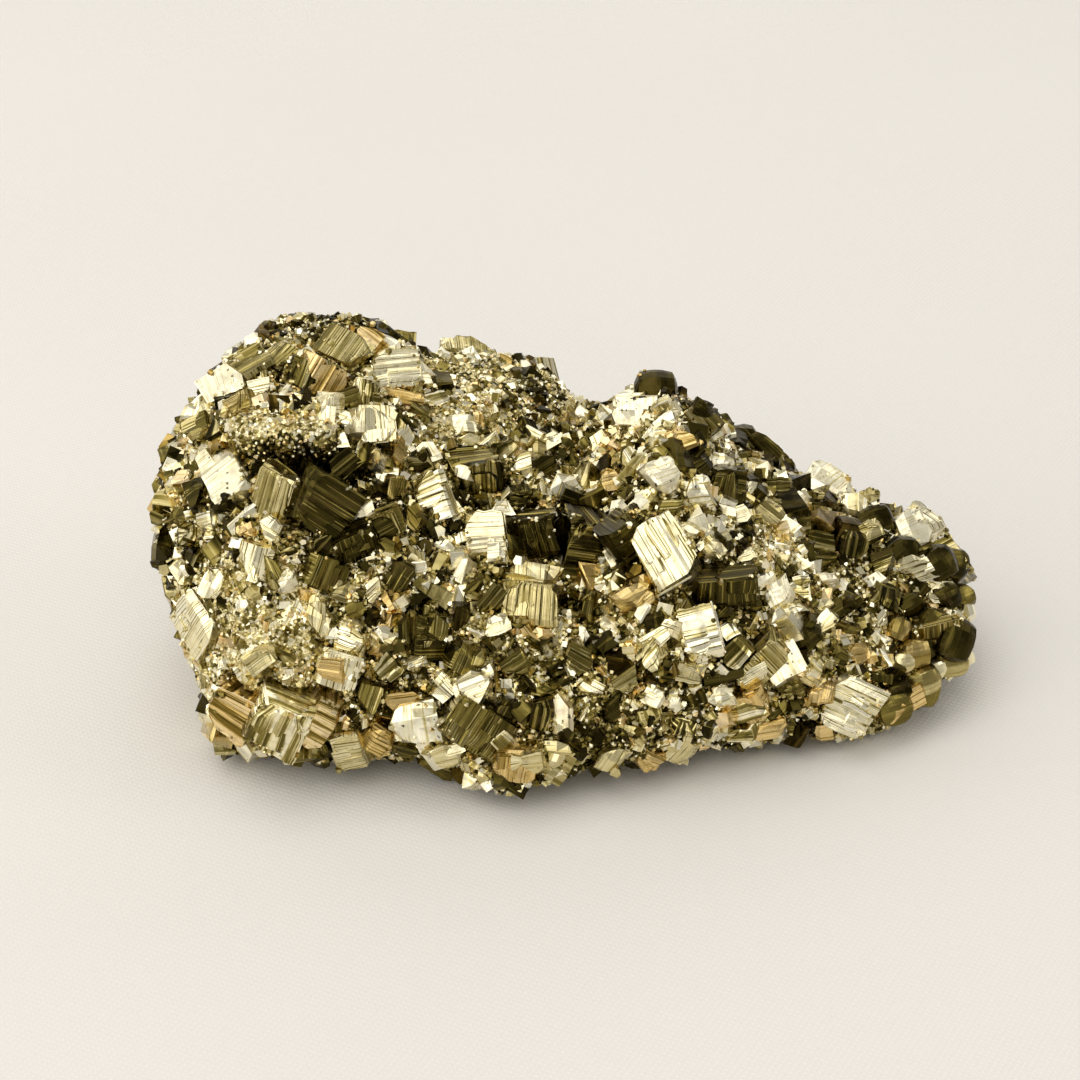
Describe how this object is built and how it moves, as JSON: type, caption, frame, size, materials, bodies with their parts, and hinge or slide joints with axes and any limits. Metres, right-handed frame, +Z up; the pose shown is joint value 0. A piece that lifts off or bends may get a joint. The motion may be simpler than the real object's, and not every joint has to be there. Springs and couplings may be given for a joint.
{
  "type": "pyrite cluster",
  "caption": "Long lump of fine granular pyrite, high at one end and tapering to the other, with large striated pyrite cubes set into it on every side.",
  "frame": {"origin": "on the table, under the middle of the cluster's bounding box", "axes": "+X along the lump towards its low end, +Z up, -Y towards the display side"},
  "size_m": [0.099, 0.0668, 0.0427],
  "materials": {
    "crystals": "natural pyrite crystal faces: pale brass-yellow with a bright metallic lustre, finely striated, some tarnished brown",
    "lump": "fine granular pyrite: dull brass-yellow metallic grains, dark brown in the hollows"
  },
  "bodies": {
    "root": {"granular_lump": "lump", "brow_crystal_1": "crystals", "brow_crystal_2": "crystals", "brow_crystal_3": "crystals", "brow_crystal_4": "crystals", "brow_crystal_5": "crystals", "brow_crystal_6": "crystals", "face_crystal_1": "crystals", "face_crystal_2": "crystals", "face_crystal_3": "crystals", "face_crystal_4": "crystals", "face_crystal_5": "crystals", "face_crystal_6": "crystals", "face_crystal_7": "crystals", "face_crystal_8": "crystals", "face_crystal_9": "crystals", "face_crystal_10": "crystals", "face_crystal_11": "crystals", "face_crystal_12": "crystals", "face_crystal_13": "crystals", "face_crystal_14": "crystals", "face_crystal_15": "crystals", "face_crystal_16": "crystals", "face_crystal_17": "crystals", "summit_crystal_1": "crystals", "summit_crystal_2": "crystals", "summit_crystal_3": "crystals", "summit_crystal_4": "crystals", "foot_crystal_1": "crystals", "foot_crystal_2": "crystals", "foot_crystal_3": "crystals", "foot_crystal_4": "crystals", "foot_crystal_5": "crystals", "foot_crystal_6": "crystals", "foot_crystal_7": "crystals", "foot_crystal_8": "crystals", "foot_crystal_9": "crystals", "foot_crystal_10": "crystals", "foot_crystal_11": "crystals", "foot_crystal_12": "crystals", "foot_crystal_13": "crystals", "toe_crystal_1": "crystals", "toe_crystal_2": "crystals", "toe_crystal_3": "crystals", "toe_crystal_4": "crystals", "toe_crystal_5": "crystals", "rear_crystal_1": "crystals", "rear_crystal_2": "crystals", "rear_crystal_3": "crystals", "rear_crystal_4": "crystals", "rear_crystal_5": "crystals", "rear_crystal_6": "crystals", "rear_crystal_7": "crystals", "rear_crystal_8": "crystals", "rear_crystal_9": "crystals", "rear_crystal_10": "crystals", "rear_crystal_11": "crystals", "rear_crystal_12": "crystals", "rear_crystal_13": "crystals", "rear_crystal_14": "crystals"}
  },
  "joints": []
}
